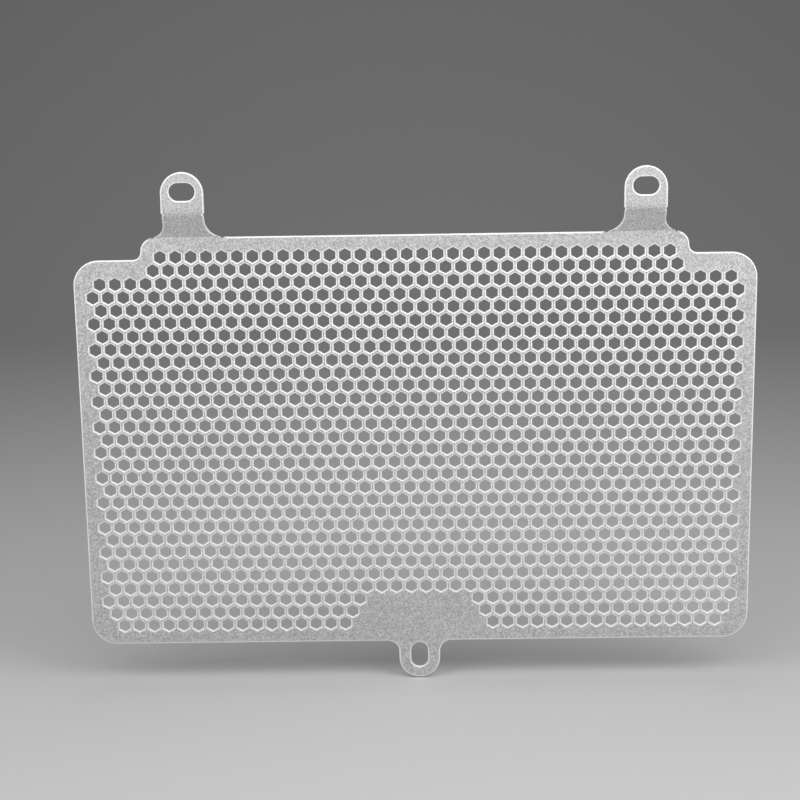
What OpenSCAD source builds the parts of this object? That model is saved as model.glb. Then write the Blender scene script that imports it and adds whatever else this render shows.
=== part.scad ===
// Motorcycle radiator guard: one flat sheet with a lattice of hexagonal holes, two joggled ears
// at the top and a flat ear at the bottom. Laser cut and then bent, in one piece.
// X runs along the width, +Z is up, and the side that faces -Y is the side the ears step towards.
// The origin is midway between the two upper slots, on the back of their ears.

/* [Sheet] */
// Thickness of the sheet
sheet_t = 1.5; // [1:0.1:2.5]
// Inside radius of the bend between the panel and a neck
root_bend_r = 1; // [0.6:0.1:2]
// Inside radius of the bend between a neck and its ear
head_bend_r = 4.5; // [0.6:0.1:6]

/* [Panel] */
// Width of the panel
panel_w = 310.8; // [280:0.1:340]
// Height of the panel from its lower edge to its upper edge
panel_h = 193.8; // [180:0.1:230]
// Radius of the four outer corners
corner_r = 11.7; // [6:0.1:14]
// Drop from the upper edge to the shoulder at each end
shoulder_drop = 10; // [8:0.5:14]
// Width of the raised middle between the shoulders
raised_w = 248.5; // [246:0.5:262]
// Radius of the raised middle's outer corners
raised_corner_r = 6.4; // [4:0.1:7]
// Radius in the inner corner where the raised middle meets a shoulder
shoulder_fillet_r = 3.7; // [1:0.1:4]

/* [Holes] */
// Distance between the centres of neighbouring holes
hole_pitch = 7; // [6:0.25:9]
// Width of a hole across its flats
hole_flats = 5.2; // [4:0.1:5.4]
// Least distance from a hole's centre to the outline
hole_margin = 8.3; // [7:0.1:12]
// Rows of holes that the plain patch above the lower ear reaches into
patch_rows = 3; // [0:1:6]
// Holes missing from the patch's uppermost row
patch_gap = 7; // [5:1:11]

/* [Ears] */
// Distance between the centres of the two upper ears
ear_spacing = 207.2; // [200:0.2:212]
// Width of an ear
ear_w = 19.4; // [18:0.1:22]
// Width of an upper ear's neck, between its bends
neck_w = 18.9; // [17:0.1:20]
// How far the upper ears stand in front of the panel
ear_step = 6; // [4:0.5:9]
// Angle between a neck and the panel
neck_angle = 30; // [25:1:45]
// Height of an upper ear's tip above the panel's upper edge
upper_ear_h = 30; // [28:0.5:40]
// Height of an upper slot's centre above the panel's upper edge
upper_slot_h = 21.1; // [20:0.1:26]
// Root radius on the side of an upper ear towards the middle
inner_root_r = 7.9; // [4:0.1:9]
// Root radius on the side of an upper ear towards the shoulder
outer_root_r = 6.4; // [4:0.1:6.6]
// How far the lower ear's tip hangs below the panel's lower edge
lower_ear_h = 18.4; // [16:0.1:24]
// Depth of the lower slot's centre below the panel's lower edge
lower_slot_h = 7.1; // [5:0.1:10]
// Root radius on both sides of the lower ear
lower_root_r = 5.6; // [3:0.1:8]

/* [Slots and notches] */
// Width of a slot
slot_w = 8; // [6:0.1:9]
// Length of an upper slot from end to end
upper_slot_l = 11.6; // [10:0.1:13]
// Length of the lower slot from end to end
lower_slot_l = 12.2; // [10:0.1:13]
// Width of the small notches that mark the ends of a bend line
notch_w = 1.8; // [1:0.1:2.4]
// Depth of the notches
notch_d = 0.7; // [0.3:0.1:1]
// Distance from a root notch to the end of its root radius
notch_inset = 0.7; // [0:0.1:1.5]

/* [Hidden] */
$fn = 96;

// Heights are measured from the upper slots
top_z = -upper_slot_h;
shoulder_z = top_z - shoulder_drop;
bottom_z = top_z - panel_h;
half_w = panel_w / 2;
raised_half = raised_w / 2;
lower_slot_z = bottom_z - lower_slot_h;

// The lattice: rows of pointed-top hexagons, every second row moved sideways by half a pitch
row_pitch = hole_pitch * sqrt(3) / 2;
hole_r = hole_flats / sqrt(3);
rows = floor((panel_h - 2 * hole_margin) / row_pitch) + 1;
first_row_z = top_z - (panel_h - (rows - 1) * row_pitch) / 2;
half_columns = ceil(half_w / hole_pitch);

// The sheet's field of holes is drawn in bands of rows. Every second band is turned out of the
// sheet's plane by an angle far too small to measure, so that each band keeps its own faces.
rows_per_band = 3;
bands = ceil(rows / rows_per_band);
band_turn = 0.00000001;
band_lap = 0.01;

// The neck runs between the bend at the panel and the bend at the ear
panel_front_y = ear_step - sheet_t;
bend_span = root_bend_r + head_bend_r + sheet_t;
neck_h = (bend_span - (bend_span - ear_step) * cos(neck_angle)) / sin(neck_angle);
head_line_h = neck_h - (head_bend_r + sheet_t) * sin(neck_angle / 2);
foot_h = 4;

// Points along a bend, in even steps of angle
bend_steps = 8;
function bend_points(centre, r, from, to) =
    [for (i = [0 : bend_steps], angle = from + (to - from) * i / bend_steps)
        centre + r * [cos(angle), sin(angle)]];

function row_z(row) = first_row_z - row * row_pitch;
function row_shift(row) = row % 2 == 0 ? 0.5 : 0;

// A hole's centre keeps clear of the edges, of the outer corners and of the inner corner
function clear_of_edges(x, z) =
    x <= half_w - hole_margin && z >= bottom_z + hole_margin && z <= top_z - hole_margin;
function clear_of_corner(x, z, corner_z, z_side) =
    x <= half_w - corner_r || z_side * (z - corner_z) <= 0
    || norm([x - half_w + corner_r, z - corner_z]) <= corner_r - hole_margin;
function clear_of_shoulder(x, z) =
    z <= shoulder_z - hole_margin || x <= raised_half - hole_margin
    || (x <= raised_half + shoulder_fillet_r
        && norm([x - raised_half - shoulder_fillet_r, z - shoulder_z - shoulder_fillet_r])
            >= shoulder_fillet_r + hole_margin);
function in_patch(x, row) =
    row >= rows - patch_rows && x < (patch_gap + row - rows + patch_rows) / 2 * hole_pitch;
function has_hole(x, row) =
    clear_of_edges(x, row_z(row)) && clear_of_shoulder(x, row_z(row)) && !in_patch(x, row)
    && clear_of_corner(x, row_z(row), bottom_z + corner_r, -1)
    && clear_of_corner(x, row_z(row), shoulder_z - corner_r, 1);

module hole_rows(first, last) {
    for (row = [max(first, 0) : min(last, rows - 1)], column = [-half_columns : half_columns]) {
        x = (column + row_shift(row)) * hole_pitch;
        if (has_hole(abs(x), row))
            translate([x, row_z(row)]) rotate(30) circle(r = hole_r, $fn = 6);
    }
}

// A square corner filled in, with the round left open: x and z point into the open side
module fillet(r, x_side, z_side) {
    difference() {
        translate([x_side < 0 ? -r : 0, z_side < 0 ? -r : 0]) square(r);
        translate([x_side * r, z_side * r]) circle(r);
    }
}

module rounded_block(w, low, high, r) {
    translate([-w / 2 + r, low]) square([w - 2 * r, high - low]);
    translate([-w / 2, low + r]) square([w, high - low - 2 * r]);
    for (x = [-w / 2 + r, w / 2 - r], z = [low + r, high - r])
        translate([x, z]) circle(r);
}

module slot(length) {
    square([length - slot_w, slot_w], center = true);
    for (side = [-1, 1])
        translate([side * (length - slot_w) / 2, 0]) circle(slot_w / 2);
}

// A notch has its mouth on the outline and points along -z before it is turned
module notch() {
    polygon([[-notch_w / 2, notch_d / 2], [-notch_w / 2, 0], [0, -notch_d], [notch_w / 2, 0],
        [notch_w / 2, notch_d / 2]]);
}

// The notches at the two ends of an ear's bend line on the panel
module root_notches() {
    for (x = [-neck_w / 2 - inner_root_r + notch_inset, neck_w / 2 + outer_root_r - notch_inset])
        translate([x, top_z]) notch();
}

// Front view of one upper ear, centred on x = 0, with the outer side towards +x
module upper_ear_outline() {
    difference() {
        union() {
            translate([-neck_w / 2 - inner_root_r, top_z - foot_h])
                square([neck_w + inner_root_r + outer_root_r, foot_h]);
            translate([-neck_w / 2, top_z - foot_h]) square([neck_w, foot_h + head_line_h]);
            translate([-ear_w / 2, top_z + head_line_h])
                square([ear_w, upper_ear_h - ear_w / 2 - head_line_h]);
            translate([0, top_z + upper_ear_h - ear_w / 2]) circle(ear_w / 2);
            translate([-neck_w / 2, top_z]) fillet(inner_root_r, -1, 1);
            translate([neck_w / 2, top_z]) fillet(outer_root_r, 1, 1);
        }
        slot(upper_slot_l);
        root_notches();
        for (side = [-1, 1])
            translate([side * ear_w / 2, top_z + head_line_h]) rotate(-90 * side) notch();
    }
}

module panel_outline() {
    difference() {
        union() {
            rounded_block(panel_w, bottom_z, shoulder_z, corner_r);
            rounded_block(raised_w, bottom_z + corner_r, top_z, raised_corner_r);
            for (side = [-1, 1])
                translate([side * raised_half, shoulder_z]) fillet(shoulder_fillet_r, side, 1);
            lower_ear_outline();
        }
        translate([0, lower_slot_z]) rotate(90) slot(lower_slot_l);
    }
}

module lower_ear_outline() {
    translate([-ear_w / 2, bottom_z - lower_ear_h + ear_w / 2])
        square([ear_w, lower_ear_h - ear_w / 2 + foot_h]);
    translate([0, bottom_z - lower_ear_h + ear_w / 2]) circle(ear_w / 2);
    for (side = [-1, 1])
        translate([side * ear_w / 2, bottom_z]) fillet(lower_root_r, side, -1);
}

// One band of the perforated sheet, in front view
module band_outline(band) {
    low = band == bands - 1 ? bottom_z - lower_ear_h : row_z((band + 1) * rows_per_band - 0.5);
    high = band == 0 ? top_z : row_z(band * rows_per_band - 0.5) + band_lap;
    difference() {
        intersection() {
            panel_outline();
            translate([-half_w, low]) square([panel_w, high - low]);
        }
        hole_rows(band * rows_per_band - 1, (band + 1) * rows_per_band);
        if (band == 0)
            for (side = [0, 1]) mirror([side, 0]) translate([ear_spacing / 2, 0]) root_notches();
    }
}

module panel() {
    for (band = [0 : bands - 1])
        rotate([band_turn * (band % 2), 0, 0])
            translate([0, ear_step, 0]) rotate([90, 0, 0])
                linear_extrude(sheet_t) band_outline(band);
}

// Side view of the sheet through an upper ear: panel, bend, neck, bend and ear
module ear_section() {
    ear_end = upper_ear_h + 1;
    polygon(concat(
        [[panel_front_y, -foot_h]],
        bend_points([panel_front_y - root_bend_r, 0], root_bend_r, 0, neck_angle),
        bend_points([head_bend_r, neck_h], head_bend_r + sheet_t, 180 + neck_angle, 180),
        [[-sheet_t, ear_end], [0, ear_end]],
        bend_points([head_bend_r, neck_h], head_bend_r, 180, 180 + neck_angle),
        bend_points([panel_front_y - root_bend_r, 0], root_bend_r + sheet_t, neck_angle, 0),
        [[ear_step, -foot_h]]));
}

module upper_ear() {
    reach = neck_w + inner_root_r + outer_root_r;
    intersection() {
        translate([0, ear_step, 0]) rotate([90, 0, 0])
            linear_extrude(ear_step + sheet_t) upper_ear_outline();
        translate([-reach, 0, top_z]) rotate([90, 0, 90])
            linear_extrude(2 * reach) ear_section();
    }
}

module guard_plate() {
    color("silver") {
        panel();
        translate([ear_spacing / 2, 0, 0]) upper_ear();
        mirror([1, 0, 0]) translate([ear_spacing / 2, 0, 0]) upper_ear();
    }
}

guard_plate();
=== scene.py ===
import math

import bpy
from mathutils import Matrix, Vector


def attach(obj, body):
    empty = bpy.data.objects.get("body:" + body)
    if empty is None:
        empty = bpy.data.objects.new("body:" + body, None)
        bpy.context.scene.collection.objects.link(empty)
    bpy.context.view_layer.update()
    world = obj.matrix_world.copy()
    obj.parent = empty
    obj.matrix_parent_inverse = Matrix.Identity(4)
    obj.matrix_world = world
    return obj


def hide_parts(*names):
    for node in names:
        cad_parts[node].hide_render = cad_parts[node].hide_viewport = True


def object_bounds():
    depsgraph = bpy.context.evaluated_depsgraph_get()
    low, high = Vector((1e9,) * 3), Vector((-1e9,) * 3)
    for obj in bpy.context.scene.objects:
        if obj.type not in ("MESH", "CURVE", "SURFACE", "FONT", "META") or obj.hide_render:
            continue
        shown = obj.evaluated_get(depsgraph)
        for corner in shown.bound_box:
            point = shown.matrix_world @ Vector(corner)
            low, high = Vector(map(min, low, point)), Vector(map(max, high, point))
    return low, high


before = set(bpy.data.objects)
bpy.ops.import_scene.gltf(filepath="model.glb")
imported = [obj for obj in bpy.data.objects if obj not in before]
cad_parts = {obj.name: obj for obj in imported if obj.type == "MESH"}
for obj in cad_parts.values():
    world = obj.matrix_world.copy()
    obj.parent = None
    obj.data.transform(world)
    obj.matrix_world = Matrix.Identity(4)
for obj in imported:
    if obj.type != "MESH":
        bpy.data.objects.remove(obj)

cad_low, cad_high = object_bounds()


# The view: a long lens 78 cm in front of the guard and 7 cm above its top, looking down at it by
# about 13 degrees. The guard leans in the picture by less than one degree.
camera_place = Vector((-0.0003, -0.7775, 0.07685))
camera_turn = (math.radians(77.42), math.radians(0.86), math.radians(0.34))
lens_mm = 78.2
sensor_mm = 36

camera_data = bpy.data.cameras.new("view")
camera_data.lens = lens_mm
camera_data.sensor_width = sensor_mm
camera = bpy.data.objects.new("view", camera_data)
camera.location = camera_place
camera.rotation_euler = camera_turn
bpy.context.scene.collection.objects.link(camera)
bpy.context.scene.camera = camera


# The guard's sheet: 1.5 mm aluminium, laser cut to its outline with all its holes, slots and
# notches, joggled at the two upper ears in a press brake, and then bead blasted all over, which
# takes the burr off and leaves a small round on every cut edge.
sheet_thickness = 0.0015
edge_round = 0.0006
edge_round_steps = 2
edge_round_fullness = 0.7
cut_edge_angle = math.radians(80)
wall_tilt = 0.3
bend_facet_angle = math.radians(9)
flat_angle = math.radians(1)
same_point = 0.000001
close_point = 0.00015

# The ears' roots: the level of their bends, and how far the bends reach up, down and sideways.
ear_root_line = -0.0211
ear_root_reach = 0.0008
ear_root_inner = 0.085
ear_root_outer = 0.122
top_edge_length = 0.16
top_edge_cuts = 99

sheet_pale_grey = "#F0F1F0"
sheet_dark_grey = "#AEB0AF"
sheet_roughness_low = 0.5
sheet_roughness_high = 0.66
grain_width = 0.0007
dent_depth = 0.00007
dent_strength = 0.15
cloud_width = 0.045
cloud_darkest = 0.96

# The edge's two greys are paler than the sheet's: a painted highlight along every cut edge.
painted_highlight_grey = "#E3E4E3"
painted_highlight_white = "#F4F5F4"
edge_roughness_low = 0.75
edge_roughness_high = 0.9
scratch_width = 0.0001


def shade(code):
    """A colour written as sRGB hex, turned to the linear values that a shader takes."""
    parts = [int(code[start:start + 2], 16) / 255 for start in (1, 3, 5)]
    return [*(c / 12.92 if c <= 0.04045 else ((c + 0.055) / 1.055) ** 2.4 for c in parts), 1]


def add_node(tree, kind, links=(), values=(), **settings):
    """Adds a node with its settings, fixed values and links, each link an input and an output."""
    made = tree.nodes.new(kind)
    for name, value in settings.items():
        setattr(made, name, value)
    for name, value in dict(values).items():
        made.inputs[name].default_value = value
    for name, output in dict(links).items():
        tree.links.new(output, made.inputs[name])
    return made


# Bead-blasted aluminium: thousands of tiny dents scatter the light, so the sheet is a soft even
# silver with a fine grain and no clear reflections. The real grain is near 0.1 mm, too fine for
# the render, so it is drawn seven times coarser.
blasted = bpy.data.materials.new("bead_blasted_aluminium")
blasted.use_nodes = True
tree = blasted.node_tree
shader = tree.nodes["Principled BSDF"]
shader.inputs["Metallic"].default_value = 1
place = add_node(tree, "ShaderNodeTexCoord").outputs["Object"]
grain = add_node(tree, "ShaderNodeTexNoise", {"Vector": place},
                 {"Scale": 1 / grain_width, "Detail": 3, "Roughness": 0.6})
cloud = add_node(tree, "ShaderNodeTexNoise", {"Vector": place},
                 {"Scale": 1 / cloud_width, "Detail": 2})
spread = add_node(tree, "ShaderNodeMapRange", {"Value": grain.outputs["Fac"]},
                  {"From Min": 0.3, "From Max": 0.7})
greys = add_node(tree, "ShaderNodeMixRGB", {"Fac": spread.outputs["Result"]},
                 {"Color1": shade(sheet_dark_grey), "Color2": shade(sheet_pale_grey)})
patches = add_node(tree, "ShaderNodeMapRange", {"Value": cloud.outputs["Fac"]},
                   {"From Min": 0.3, "From Max": 0.7, "To Min": cloud_darkest, "To Max": 1})
tone = add_node(tree, "ShaderNodeVectorMath",
                {0: greys.outputs["Color"], 1: patches.outputs["Result"]}, operation="MULTIPLY")
tree.links.new(tone.outputs["Vector"], shader.inputs["Base Color"])
gloss = add_node(tree, "ShaderNodeMapRange", {"Value": grain.outputs["Fac"]},
                 {"To Min": sheet_roughness_low, "To Max": sheet_roughness_high})
tree.links.new(gloss.outputs["Result"], shader.inputs["Roughness"])
dents = add_node(tree, "ShaderNodeBump", {"Height": grain.outputs["Fac"]},
                 {"Strength": dent_strength, "Distance": dent_depth})
tree.links.new(dents.outputs["Normal"], shader.inputs["Normal"])

# Laser-cut aluminium edge, coloured paler than the sheet: a painted highlight which, together
# with the light caught by the real rounded edges, draws a thin pale line round every hole and the
# whole outline, with very fine marks across the sheet's thickness.
cut_edge_with_painted_highlight = bpy.data.materials.new("laser_cut_edge_painted_highlight")
cut_edge_with_painted_highlight.use_nodes = True
tree = cut_edge_with_painted_highlight.node_tree
shader = tree.nodes["Principled BSDF"]
shader.inputs["Metallic"].default_value = 1
place = add_node(tree, "ShaderNodeTexCoord").outputs["Object"]
stretched = add_node(tree, "ShaderNodeMapping", {"Vector": place},
                     {"Scale": (1, scratch_width / sheet_thickness, 1)})
marks = add_node(tree, "ShaderNodeTexNoise", {"Vector": stretched.outputs["Vector"]},
                 {"Scale": 1 / scratch_width, "Detail": 1})
spread = add_node(tree, "ShaderNodeMapRange", {"Value": marks.outputs["Fac"]},
                  {"From Min": 0.3, "From Max": 0.6})
painted_highlight_tones = add_node(tree, "ShaderNodeMixRGB", {"Fac": spread.outputs["Result"]},
                 {"Color1": shade(painted_highlight_grey), "Color2": shade(painted_highlight_white)})
tree.links.new(painted_highlight_tones.outputs["Color"], shader.inputs["Base Color"])
gloss = add_node(tree, "ShaderNodeMapRange", {"Value": marks.outputs["Fac"]},
                 {"To Min": edge_roughness_low, "To Max": edge_roughness_high})
tree.links.new(gloss.outputs["Result"], shader.inputs["Roughness"])

# The sheet itself is a copy of the solid's skin with its triangles joined into flat faces, its
# cut edges rounded, and the cut walls and rounds given the paler edge colour, a painted
# highlight.
# Points closer together than 0.15 mm are merged first, as the rounding would fold over on edges
# so short.
bpy.ops.object.select_all(action="DESELECT")
sheet = bpy.data.objects.new("perforated_sheet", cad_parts["guard_plate"].data.copy())
bpy.context.scene.collection.objects.link(sheet)
sheet.select_set(True)
bpy.context.view_layer.objects.active = sheet
sheet.data.materials.clear()
sheet.data.materials.append(blasted)
sheet.data.materials.append(cut_edge_with_painted_highlight)
bpy.ops.object.mode_set(mode="EDIT")
bpy.ops.mesh.select_all(action="SELECT")
bpy.ops.mesh.remove_doubles(threshold=same_point)
bpy.ops.mesh.customdata_custom_splitnormals_clear()
bpy.ops.mesh.dissolve_limited(angle_limit=flat_angle)
bpy.ops.mesh.select_all(action="SELECT")
bpy.ops.mesh.remove_doubles(threshold=close_point)
bpy.ops.mesh.dissolve_limited(angle_limit=flat_angle)
bpy.ops.mesh.select_all(action="DESELECT")
bpy.context.tool_settings.mesh_select_mode = (False, True, False)
bpy.ops.object.mode_set(mode="OBJECT")

# The long top edge between the ears, on both faces, is split into short ones, so that only its
# two ends stay sharp below.
for edge in sheet.data.edges:
    start, end = [sheet.data.vertices[index].co for index in edge.vertices]
    at_top = min(start.z, end.z) > ear_root_line - same_point
    edge.select = at_top and (end - start).length > top_edge_length
bpy.ops.object.mode_set(mode="EDIT")
bpy.ops.mesh.subdivide(number_cuts=top_edge_cuts)
bpy.ops.mesh.select_all(action="SELECT")
bpy.ops.mesh.quads_convert_to_tris(quad_method="BEAUTY", ngon_method="BEAUTY")
bpy.ops.mesh.beautify_fill(angle_limit=flat_angle)
bpy.ops.mesh.normals_make_consistent(inside=False)
bpy.ops.mesh.select_all(action="DESELECT")
bpy.ops.mesh.edges_select_sharp(sharpness=cut_edge_angle)
bpy.ops.object.mode_set(mode="OBJECT")
# The cut walls take the paler edge material, a painted highlight.
for face in sheet.data.polygons:
    face.material_index = 1 if abs(face.normal.y) < wall_tilt else 0

# Every cut edge is rounded but for the last 1 to 2 mm beside the bends at the ears' roots, where
# the bends' steps are finer than the rounding is wide.
shares = sheet.data.attributes.new("bevel_weight_edge", "FLOAT", "EDGE")
for edge in sheet.data.edges:
    if edge.select:
        ends = [sheet.data.vertices[index].co for index in edge.vertices]
        at_root = any(abs(end.z - ear_root_line) < ear_root_reach
                      and ear_root_inner < abs(end.x) < ear_root_outer for end in ends)
        shares.data[edge.index].value = 0 if at_root else 1

rounding = sheet.modifiers.new("edge_round", "BEVEL")
rounding.width = edge_round
rounding.segments = edge_round_steps
rounding.profile = edge_round_fullness
rounding.limit_method = "WEIGHT"
rounding.use_clamp_overlap = False
rounding.loop_slide = False
# The rounds take the paler edge material too, a painted highlight.
rounding.material = 1
bpy.ops.object.modifier_apply(modifier=rounding.name)
bpy.ops.object.shade_smooth_by_angle(angle=bend_facet_angle)

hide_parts("guard_plate")
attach(sheet, "root")


# The studio: a pale grey paper sweep under and behind the guard, whose lower ear all but touches
# it, three soft lamps close in front of the guard and above it, a fourth high up behind it, and a
# faint even surround. The near lamps leave the guard's top lighter than its foot.
floor_gap = 0.0004
sweep_width = 6
sweep_front = -2.5
sweep_back = 1.6
sweep_height = 2.6
sweep_round = 0.7
sweep_round_steps = 16
paper_grey = "#A8A8A8"
paper_roughness = 0.9
surround_grey = "#FFFFFF"
surround_strength = 0.15

paper = bpy.data.materials.new("matt_paper")
paper.use_nodes = True
paper.node_tree.nodes["Principled BSDF"].inputs["Base Color"].default_value = shade(paper_grey)
paper.node_tree.nodes["Principled BSDF"].inputs["Roughness"].default_value = paper_roughness

bpy.ops.object.select_all(action="DESELECT")
bpy.ops.mesh.primitive_plane_add(size=1, location=(0, 0, 0))
sweep = bpy.context.object
sweep.name = "paper_sweep"
for vertex in sweep.data.vertices:
    vertex.co.x *= sweep_width
    vertex.co.y = sweep_back if vertex.co.y > 0 else sweep_front
    vertex.co.z = cad_low.z - floor_gap
bpy.context.tool_settings.mesh_select_mode = (True, False, False)
bpy.ops.object.mode_set(mode="EDIT")
bpy.ops.mesh.select_all(action="DESELECT")
bpy.ops.object.mode_set(mode="OBJECT")
for vertex in sweep.data.vertices:
    vertex.select = vertex.co.y > 0
bpy.ops.object.mode_set(mode="EDIT")
bpy.ops.mesh.extrude_region_move(TRANSFORM_OT_translate={"value": (0, 0, sweep_height)})
bpy.ops.object.mode_set(mode="OBJECT")
sweep_bend = sweep.modifiers.new("sweep_bend", "BEVEL")
sweep_bend.width = sweep_round
sweep_bend.segments = sweep_round_steps
bpy.ops.object.modifier_apply(modifier=sweep_bend.name)
bpy.ops.object.shade_smooth()
sweep.data.materials.append(paper)

guard_middle = (cad_low + cad_high) / 2
for name, lamp_place, size, watts in (
    ("key", Vector((0, -0.4, 0.35)), 0.5, 1.6),
    ("top", Vector((0, 0.25, 0.9)), 0.8, 3.5),
    ("left", Vector((-0.45, -0.32, 0.25)), 0.5, 2.6),
    ("right", Vector((0.45, -0.32, 0.25)), 0.5, 3.6),
):
    lamp_data = bpy.data.lights.new(name, "AREA")
    lamp_data.size = size
    lamp_data.energy = watts
    lamp = bpy.data.objects.new(name, lamp_data)
    lamp.location = lamp_place
    lamp.visible_camera = False
    lamp.rotation_mode = "QUATERNION"
    lamp.rotation_quaternion = (guard_middle - lamp_place).to_track_quat("-Z", "Y")
    bpy.context.scene.collection.objects.link(lamp)

surround = bpy.data.worlds.new("surround")
surround.use_nodes = True
surround.node_tree.nodes["Background"].inputs["Color"].default_value = shade(surround_grey)
surround.node_tree.nodes["Background"].inputs["Strength"].default_value = surround_strength
bpy.context.scene.world = surround
bpy.context.scene.view_settings.view_transform = "Standard"
